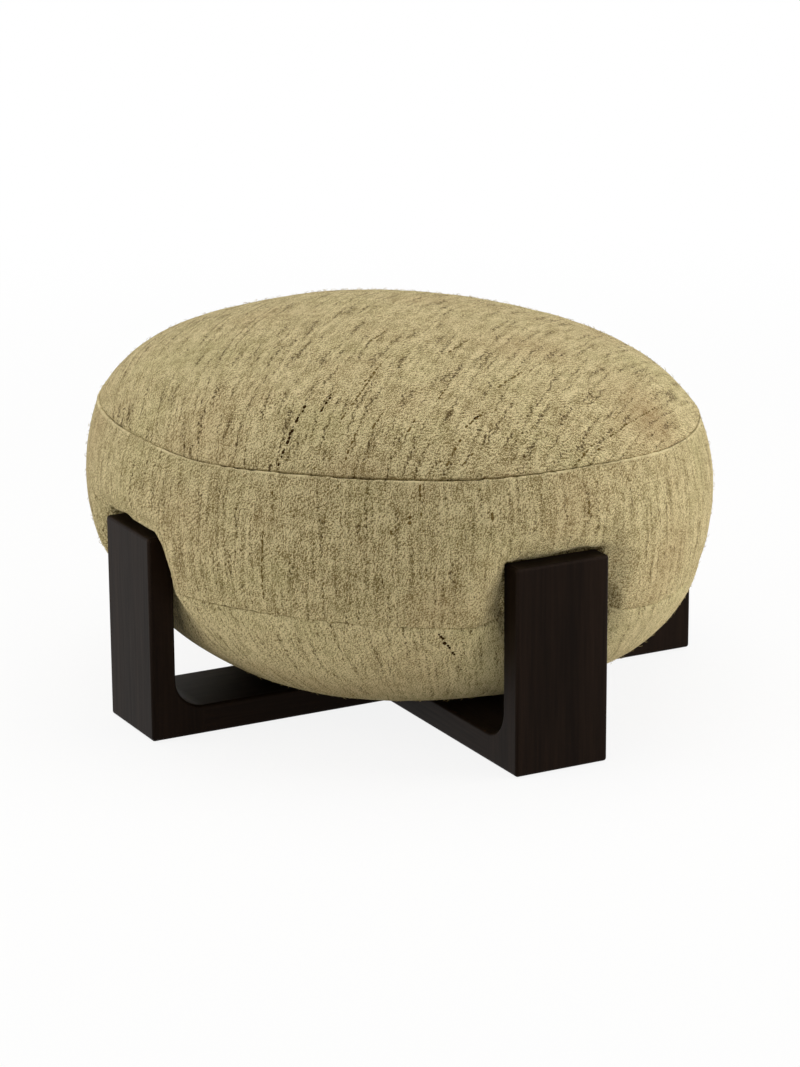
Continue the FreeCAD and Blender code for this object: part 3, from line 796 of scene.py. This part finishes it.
def uneven(shell, lengths, seams, seed, crease):
    """Small lumps of the stuffing, puckers that fade away from the seams, and a crease in front."""
    row = shell.verts.layers.int["row"]
    shell.normal_update()
    normals = [vert.normal.copy() for vert in shell.verts]
    for vert, normal in zip(shell.verts, normals):
        place = vert.co + Vector((seed, 0, 0))
        turn = turn_of(vert.co)
        near = min(abs(lengths[vert[row]] - seam) for seam in seams)
        rise = sum(height * noise.noise(place * rate) for rate, height in STUFFING_LUMPS)
        for number, (rate, height, reach) in enumerate(PUCKERS):
            wave = noise.noise(Vector((turn * rate, seed, 5 * number)))
            rise += height * wave * math.exp(-near / reach)
        dive = bell(math.degrees(turn) - CREASE_MIDDLE, CREASE_WIDTH) * math.exp(-near / CREASE_REACH)
        vert.co += normal * (rise - crease * dive)


def cover_piece(name, profile, start, spread, seams, seed, crease, s):
    """One panel of the cover, from its profile to a finished cloth shell."""
    lengths = measured(profile, start)
    shell = spun(profile, SEGMENTS)
    crowd(shell)
    map_weave(shell, lengths, spread)
    for vert in shell.verts:
        vert.co = press(settle(vert.co, s), s)
    for vert, move in [(vert, swelling(vert.co)) for vert in shell.verts]:
        vert.co += move
    uneven(shell, lengths, seams, seed, crease)
    for face in shell.faces:
        face.smooth = True
    piece = mesh_object(name, shell)
    wall = piece.modifiers.new("Cloth", "SOLIDIFY")
    wall.thickness = s.cloth
    wall.offset = -1
    return piece


def finish_cover(piece, material, *nodes):
    """Gives a panel its cloth, hangs it on the root body and hides the CAD parts that it replaces."""
    piece.data.materials.append(material)
    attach(piece, "root")
    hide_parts(*nodes)


# Camera

SENSOR = 36.0  # millimetres along the longer side of the picture
PHOTO_WIDTH = 800
PHOTO_HEIGHT = 1067


def camera_place(s):
    """The camera's place and turn as one matrix."""
    back = Vector((
        math.sin(s.azimuth) * math.cos(s.elevation),
        -math.cos(s.azimuth) * math.cos(s.elevation),
        math.sin(s.elevation),
    ))
    right = Vector((math.cos(s.azimuth), math.sin(s.azimuth), 0))
    up = back.cross(right)
    target = right * s.aside + up * s.above + Vector((0, 0, s.pad_height))
    level = math.cos(s.roll)
    tilt = math.sin(s.roll)
    axes = Matrix((right * level + up * tilt, up * level - right * tilt, back)).transposed()
    return Matrix.Translation(target + back * s.distance) @ axes.to_4x4()


def line_of_sight(pixel, s):
    """The camera's place and the direction in which it sees a pixel of the photograph."""
    x, y = pixel
    scale = SENSOR / (s.focal * PHOTO_HEIGHT)
    aim = Vector(((x - PHOTO_WIDTH / 2) * scale, (PHOTO_HEIGHT / 2 - y) * scale, -1))
    place = camera_place(s)
    return place.translation, (place.to_3x3() @ aim).normalized()


# Slubs and stray fibres

# Half width of a slub's beads in millimetres, and the pixels of the photograph it runs through
DARK_SLUBS = (
    (1.3, ((306, 405), (297, 420), (288, 441), (278, 466))),
    (1.2, ((333, 393), (320, 412))),
    (0.9, ((479, 415), (470, 423))),
    (1.0, ((580, 458), (574, 466))),
    (1.6, ((437, 632), (446, 644), (455, 656))),
)
BROWN_SLUBS = (
    (1.0, ((375, 372), (357, 398), (338, 425))),
    (1.0, ((360, 425), (349, 449), (346, 460))),
    (0.9, ((386, 331), (371, 341))),
    (0.9, ((384, 412), (371, 430))),
    (1.1, ((471, 339), (449, 352))),
    (1.1, ((484, 412), (466, 427))),
    (1.2, ((461, 438), (455, 450), (446, 468))),
    (1.1, ((523, 371), (497, 388))),
    (0.9, ((655, 408), (625, 425), (607, 439))),
    (1.1, ((597, 441), (588, 450), (574, 466))),
    (0.9, ((445, 390), (436, 402))),
    (0.8, ((388, 357), (362, 385))),
    (0.8, ((474, 453), (460, 468))),
    (0.8, ((415, 420), (405, 437))),
    (1.0, ((603, 446), (591, 456))),
    (0.9, ((273, 484), (272, 500))),
    (0.9, ((263, 530), (264, 600))),
    (0.9, ((589, 495), (589, 516))),
    (2.0, ((410, 514), (410, 524))),
    (2.2, ((391, 529), (391, 535))),
    (1.0, ((420, 484), (420, 503))),
    (0.9, ((421, 507), (421, 519))),
    (1.3, ((492, 512), (492, 519))),
)
SLUB_SEED = 5
# A bead's height in metres, and its half length as a share of the spacing
BEAD_HEIGHT = 0.0005
BEAD_LENGTH = 0.40
# How far a bead strays along its run, as a share of the spacing, and aside, of its half width
BEAD_ALONG = 0.35
BEAD_ASIDE = 0.5
BEAD_SIZES = (0.5, 1.35)
STRAY_SEED = 11
# Fibres grow from the cushion's lower side nearly up to its pole, as the sine of their latitude
STRAY_RISES = (-0.65, 0.98)
STRAY_LENGTHS = (0.3, 1.0)
# How far up and aside a fibre's two halves go, as shares of half its length
STRAY_HALVES = ((0.55, 0.5), (0.15, 0.9))
# Width at the root, the elbow and the tip
STRAY_TAPER = (1.0, 0.8, 0.3)
CUSHION_MIDDLE = Vector((0, 0, 0.2))
CAST_FROM = 0.05


def solid_trees(names):
    """Search trees of finished objects, for casting rays at them."""
    graph = bpy.context.evaluated_depsgraph_get()
    return [BVHTree.FromObject(bpy.data.objects[name], graph) for name in names]


def first_hit(trees, start, aim):
    """Where a ray first meets any of some trees: the spot, its normal and the tree's number."""
    hits = [(*tree.ray_cast(start, aim), number) for number, tree in enumerate(trees)]
    spot, normal, _, _, number = min((hit for hit in hits if hit[0]), key=lambda hit: hit[3])
    return spot, normal, number


def finish_yarn(piece, name, colours, size, relief):
    """Gives loose yarn on the cover its own finish, with grains in millimetres."""
    material = grained(name, *colours, size, EVEN, relief, Roughness=1.0, Specular_IOR_Level=0.0)
    piece.data.materials.append(material)
    piece.data.shade_smooth()
    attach(piece, "root")


# Stage

# Place and size of each light in metres
LIGHTS = {
    "overhead": ((0.1, 0.2, 2.6), 2.4),
    "left": ((-2.3, 0.6, 1.2), 1.6),
    "right": ((1.9, -1.3, 0.6), 1.6),
}
LIGHT_AIM = Vector((0, 0, 0.25))
FLOOR_REACH = 14
# Distances between which the floor goes over to white, and how white it is on the nearer side
FLOOR_FADE = (0.3, 2.4)
FLOOR_WHITE = 0.88


def background_rays(tree):
    """1 for a ray that sees the background: from the camera, a reflection or through glass."""
    rays = add(tree, "LightPath")
    seen = rays["Is Camera Ray"]
    for other in ("Is Glossy Ray", "Is Transmission Ray"):
        seen = add(tree, "Math", {0: seen, 1: rays[other]}, operation="MAXIMUM")[0]
    return seen


# Operators


class POUF_OT_stain_cradle(bpy.types.Operator):
    """Stain the posts and rails, each with its grain along the board"""

    bl_idname = "pouf.stain_cradle"
    bl_label = "Stain the cradle"

    def execute(self, context):
        cradle = context.scene.pouf_cradle
        upright = stained_wood("stained_hardwood_upright", cradle, 2)
        for node in POST_NAMES:
            dress(node, upright)
        dress("rail_left_right", stained_wood("stained_hardwood_across", cradle, 0))
        dress("rail_front_back", stained_wood("stained_hardwood_away", cradle, 1))
        return {"FINISHED"}


class POUF_OT_finish_fittings(bpy.types.Operator):
    """Give the hidden pieces their own materials"""

    bl_idname = "pouf.finish_fittings"
    bl_label = "Finish the fittings"

    def execute(self, context):
        for name, low, high, size, stretch, relief, shader, nodes in FITTING_FINISHES:
            finish = grained(name, linear(low), linear(high), size, stretch, relief, **shader)
            for node in nodes:
                dress(node, finish)
        return {"FINISHED"}


class POUF_OT_stuff_cushion(bpy.types.Operator):
    """Let the cushion swell under pressure between the posts"""

    bl_idname = "pouf.stuff_cushion"
    bl_label = "Stuff the cushion"

    def execute(self, context):
        STUFFING.clear()
        swell(values(context.scene.pouf_cushion))
        return {"FINISHED"}


class POUF_OT_sew_top_panel(bpy.types.Operator):
    """Sew the round top panel, whose weave runs across the pouf"""

    bl_idname = "pouf.sew_top_panel"
    bl_label = "Sew the top panel"

    def execute(self, context):
        s = values(context.scene.pouf_cushion)
        cover = context.scene.pouf_cover
        arcs = section_arcs(s)
        crown = arc_length(arcs["crown"])
        shoulder = arc_length(arcs["shoulder"])
        profile = arc_run(arcs["crown"], [crown * step / CROWN_STEPS for step in range(CROWN_STEPS)])
        steps = spaced(shoulder - s.tuck, coarse=0.0045, fine=0.0012, near=0.012)
        profile += arc_run(arcs["shoulder"], steps)
        upper, _ = seam_inward(arcs)
        fold_in(profile, upper, s.tuck, s.hem)

        def spread(turn, reach):
            turn -= s.weave_heading
            return (reach * math.sin(turn), -reach * math.cos(turn))

        seams = (crown + shoulder,)
        piece = cover_piece("top_panel_cover", profile, 0.0, spread, seams, TOP_SEED, s.crease, s)
        cloth = woven_wool("woven_wool_top", cover, streaks=0.2, patches=RUST_PATCHES)
        finish_cover(piece, cloth, "top_panel", "wadding_top")
        return {"FINISHED"}


class POUF_OT_sew_side_band(bpy.types.Operator):
    """Sew the side band, with a crisp folded lip along its top"""

    bl_idname = "pouf.sew_side_band"
    bl_label = "Sew the side band"

    def execute(self, context):
        s = values(context.scene.pouf_cushion)
        cover = context.scene.pouf_cover
        arcs = section_arcs(s)
        band = arcs["band"]
        reach = arc_length(band)
        half = reach / 2
        down_steps = spaced(half - s.fold, coarse=0.0040, fine=0.0012, near=0.010)
        up_steps = spaced(half - s.lip, coarse=0.0040, fine=0.0010, near=0.010)
        bottom = arc_run(band, [half + step for step in down_steps])
        top = []
        for step in up_steps:
            rise = s.ridge * math.exp((step - half) / RIDGE_FADE)
            raised = (band[0], band[1], band[2] + rise, band[3], band[4])
            top.append(on_arc(raised, (half - step) / reach))
        upper, lower = seam_inward(arcs)
        fold_in(bottom, lower, s.fold, s.hem)
        fold_in(top, upper, s.lip, s.hem)
        start = -measured(top, 0.0)[-1]

        def spread(turn, along):
            return (turn * s.radius, -along)

        profile = top[:0:-1] + bottom
        piece = cover_piece("side_band_cover", profile, start, spread, (-half, half), BAND_SEED, 0.0, s)
        # The band's folded lip along its top seam gets a painted highlight
        cloth = woven_wool("woven_wool_band", cover, lean=cover.fibre_lean, streaks=0.13, painted_edge_highlight=(half,))
        finish_cover(piece, cloth, "side_band", "wadding_wrap")
        return {"FINISHED"}


class POUF_OT_sew_bottom_panel(bpy.types.Operator):
    """Sew the bottom panel, which tucks in under the seat board"""

    bl_idname = "pouf.sew_bottom_panel"
    bl_label = "Sew the bottom panel"

    def execute(self, context):
        s = values(context.scene.pouf_cushion)
        cover = context.scene.pouf_cover
        arcs = section_arcs(s)
        reach = arc_length(arcs["lower"])
        steps = spaced(reach - s.fold, coarse=0.0050, fine=0.0012, near=0.010)
        profile = arc_run(arcs["lower"], [reach - step for step in steps])
        _, lower = seam_inward(arcs)
        fold_in(profile, lower, s.fold, s.hem)
        edge = on_arc(arcs["lower"], 1.0)
        width = edge.x - s.opening
        shares = [step / UNDERSIDE_STEPS for step in range(UNDERSIDE_STEPS)]
        profile = [Vector((s.opening + width * part, edge.y)) for part in shares] + profile

        def spread(turn, along):
            return (turn * s.radius, along)

        seams = (width + reach,)
        piece = cover_piece("bottom_panel_cover", profile, 0.0, spread, seams, BOTTOM_SEED, 0.0, s)
        # The bottom panel's yarn is paler: partly a lighter cut of cloth, and partly painted light standing
        # in for light from the floor below
        cloth = woven_wool("woven_wool_bottom", cover, lean=cover.fibre_lean, tone=0.14, streaks=0.15)
        finish_cover(piece, cloth, "bottom_panel")
        return {"FINISHED"}


class POUF_OT_thread_slubs(bpy.types.Operator):
    """Work the slubs, short runs of dark beads in the yarn, into the cover"""

    bl_idname = "pouf.thread_slubs"
    bl_label = "Thread the slubs"

    def execute(self, context):
        cover = context.scene.pouf_cover
        stage = context.scene.pouf_stage
        carriers = solid_trees(COVER_NAMES)
        draw = random.Random(SLUB_SEED)
        for name, slubs, colours in (
            ("dark_slubs", DARK_SLUBS, (cover.slub, cover.gap)),
            ("brown_slubs", BROWN_SLUBS, (cover.brown_slub, cover.dark)),
        ):
            beads = bmesh.new()
            for half_width, run in slubs:
                points = [first_hit(carriers, *line_of_sight(pixel, stage))[0] for pixel in run]
                for one, other in zip(points, points[1:]):
                    self.string(beads, one, other, half_width / 1000, cover.bead, carriers, draw)
            piece = mesh_object(name, beads)
            # Tightly twisted lumps of darker wool: matt and flecked
            finish_yarn(piece, "twisted_wool_" + name, colours, 1.6, 0.2)
        return {"FINISHED"}

    def string(self, beads, one, other, half_width, spacing, carriers, draw):
        """Sets beads along a stretch, each half sunk into the cover."""
        count = max(2, round((other - one).length / spacing))
        for number in range(count):
            along = number + 0.5 + draw.uniform(-BEAD_ALONG, BEAD_ALONG)
            place = one.lerp(other, along / count)
            place += Vector((draw.uniform(-1, 1), draw.uniform(-1, 1), 0)) * half_width * BEAD_ASIDE
            outward = (place - CUSHION_MIDDLE).normalized()
            spot, normal, _ = first_hit(carriers, place + outward * CAST_FROM, -outward)
            across = (other - one).cross(normal).normalized()
            size = draw.uniform(*BEAD_SIZES)
            scales = Matrix.Diagonal((half_width * size, spacing * BEAD_LENGTH * size, BEAD_HEIGHT))
            turned = Matrix((across, normal.cross(across), normal)).transposed() @ scales
            shape = Matrix.Translation(spot) @ turned.to_4x4()
            bmesh.ops.create_uvsphere(beads, u_segments=8, v_segments=5, radius=1, matrix=shape)


class POUF_OT_tease_fibres(bpy.types.Operator):
    """Tease stray fibres out of the cover, which show along its edge"""

    bl_idname = "pouf.tease_fibres"
    bl_label = "Tease out fibres"

    def execute(self, context):
        cover = context.scene.pouf_cover
        trees = solid_trees(COVER_NAMES + POST_NAMES)
        draw = random.Random(STRAY_SEED)
        strands = bpy.data.curves.new("strands", "CURVE")
        strands.dimensions = "3D"
        strands.bevel_depth = cover.stray_width / 2
        strands.bevel_resolution = 0
        strands.use_fill_caps = True
        for _ in range(cover.strays):
            rise = draw.uniform(*STRAY_RISES)
            turn = draw.uniform(-math.pi, math.pi)
            level = math.sqrt(1 - rise * rise)
            outward = Vector((level * math.cos(turn), level * math.sin(turn), rise))
            lean = Vector([draw.gauss(0, 1) for _ in range(3)])
            reach = cover.stray_length * draw.uniform(*STRAY_LENGTHS)
            spot, normal, number = first_hit(trees, CUSHION_MIDDLE + outward, -outward)
            if number < len(COVER_NAMES):
                self.grow(strands, spot, normal, lean, reach)
        curled = bpy.data.objects.new("strands", strands)
        context.scene.collection.objects.link(curled)
        piece = bpy.data.objects.new("stray_fibres", as_shown(curled))
        context.scene.collection.objects.link(piece)
        bpy.data.objects.remove(curled)
        # Loose wool: thin matt hairs, a little paler and darker along their length
        finish_yarn(piece, "loose_wool_fibres", (cover.dark, cover.light), 3.0, 0.1)
        return {"FINISHED"}

    def grow(self, strands, spot, normal, lean, reach):
        """Adds a fibre that stands up from the cover and curls over sideways to a thin tip."""
        aside = (lean - normal * lean.dot(normal)).normalized()
        places = [spot]
        for up, over in STRAY_HALVES:
            places.append(places[-1] + (normal * up + aside * over) * reach / 2)
        strand = strands.splines.new("POLY")
        strand.points.add(2)
        for knot, place, width in zip(strand.points, places, STRAY_TAPER):
            knot.co = (*place, 1)
            knot.radius = width


class POUF_OT_set_stage(bpy.types.Operator):
    """Lay the floor, hang the lights and place the camera"""

    bl_idname = "pouf.set_stage"
    bl_label = "Set the stage"

    def execute(self, context):
        s = context.scene.pouf_stage
        self.lay_floor(s)
        self.light_world(s)
        for side, (place, size) in LIGHTS.items():
            self.hang_light(side + "_light", place, size, getattr(s, side))
        self.place_camera(s)
        context.scene.view_settings.view_transform = "Standard"
        return {"FINISHED"}

    def lay_floor(self, s):
        """A wide floor that keeps the pouf's shadow and goes over to white further out."""
        sheet = bmesh.new()
        bmesh.ops.create_grid(sheet, x_segments=2, y_segments=2, size=FLOOR_REACH)
        floor = mesh_object("floor", sheet)
        # Matt pale paint: even and without gloss
        material, tree, shader = new_material(
            "matt_pale_floor", Base_Color=s.floor, Roughness=0.9, Specular_IOR_Level=0.1
        )
        place = add(tree, "TexCoord")["Object"]
        away = add(tree, "VectorMath", {0: place}, operation="LENGTH")["Value"]
        part = {"Value": away, 1: FLOOR_FADE[0], 2: FLOOR_FADE[1], 3: FLOOR_WHITE, 4: 1.0}
        part = add(tree, "MapRange", part, interpolation_type="SMOOTHSTEP")[0]
        part = add(tree, "Math", {0: background_rays(tree), 1: part}, operation="MULTIPLY")[0]
        white = add(tree, "Emission", {"Color": (1, 1, 1, 1), "Strength": 1.0})[0]
        mixed = add(tree, "MixShader", {0: part, 1: shader.outputs[0], 2: white})[0]
        tree.links.new(mixed, tree.nodes["Material Output"].inputs["Surface"])
        floor.data.materials.append(material)

    def light_world(self, s):
        """Soft light from all round, from a sky that looks white."""
        world = bpy.data.worlds.new("studio")
        bpy.context.scene.world = world
        world.use_nodes = True
        tree = world.node_tree
        strength = add(tree, "MapRange", {"Value": background_rays(tree), 3: s.sky, 4: 1.0})[0]
        background = tree.nodes["Background"]
        background.inputs["Color"].default_value = (1, 1, 1, 1)
        tree.links.new(strength, background.inputs["Strength"])

    def hang_light(self, name, place, size, power):
        """A square soft light, turned towards the cushion."""
        lamp = bpy.data.lights.new(name, "AREA")
        lamp.size = size
        lamp.energy = power
        light = bpy.data.objects.new(name, lamp)
        light.location = place
        light.rotation_euler = (Vector(place) - LIGHT_AIM).to_track_quat("Z", "Y").to_euler()
        bpy.context.scene.collection.objects.link(light)

    def place_camera(self, s):
        """The camera at the photograph's angle."""
        lens = bpy.data.cameras.new("camera")
        lens.lens = s.focal
        lens.clip_end = 100
        camera = bpy.data.objects.new("camera", lens)
        camera.matrix_world = camera_place(s)
        bpy.context.scene.collection.objects.link(camera)
        bpy.context.scene.camera = camera


STEPS = (
    POUF_OT_stain_cradle,
    POUF_OT_finish_fittings,
    POUF_OT_stuff_cushion,
    POUF_OT_sew_top_panel,
    POUF_OT_sew_side_band,
    POUF_OT_sew_bottom_panel,
    POUF_OT_thread_slubs,
    POUF_OT_tease_fibres,
    POUF_OT_set_stage,
)
SETTINGS = {
    "pouf_cushion": CushionSettings,
    "pouf_cover": CoverSettings,
    "pouf_cradle": CradleSettings,
    "pouf_stage": StageSettings,
}


class POUF_PT_panel(bpy.types.Panel):
    """Lists the steps in which the pouf is finished, and its settings"""

    bl_idname = "POUF_PT_panel"
    bl_label = "Pouf"
    bl_space_type = "VIEW_3D"
    bl_region_type = "UI"
    bl_category = "Pouf"

    def draw(self, context):
        for step in STEPS:
            self.layout.operator(step.bl_idname)
        for name, kind in SETTINGS.items():
            box = self.layout.box()
            for setting in kind.__annotations__:
                box.prop(getattr(context.scene, name), setting)


def register():
    for kind in (*SETTINGS.values(), *STEPS, POUF_PT_panel):
        bpy.utils.register_class(kind)
    for name, kind in SETTINGS.items():
        setattr(bpy.types.Scene, name, PointerProperty(type=kind))


def unregister():
    for name in SETTINGS:
        delattr(bpy.types.Scene, name)
    for kind in (POUF_PT_panel, *reversed(STEPS), *SETTINGS.values()):
        bpy.utils.unregister_class(kind)


def main():
    register()
    bpy.ops.pouf.stain_cradle()
    bpy.ops.pouf.finish_fittings()
    bpy.ops.pouf.stuff_cushion()
    bpy.ops.pouf.sew_top_panel()
    bpy.ops.pouf.sew_side_band()
    bpy.ops.pouf.sew_bottom_panel()
    bpy.ops.pouf.thread_slubs()
    bpy.ops.pouf.tease_fibres()
    bpy.ops.pouf.set_stage()


if __name__ == "__main__":
    main()
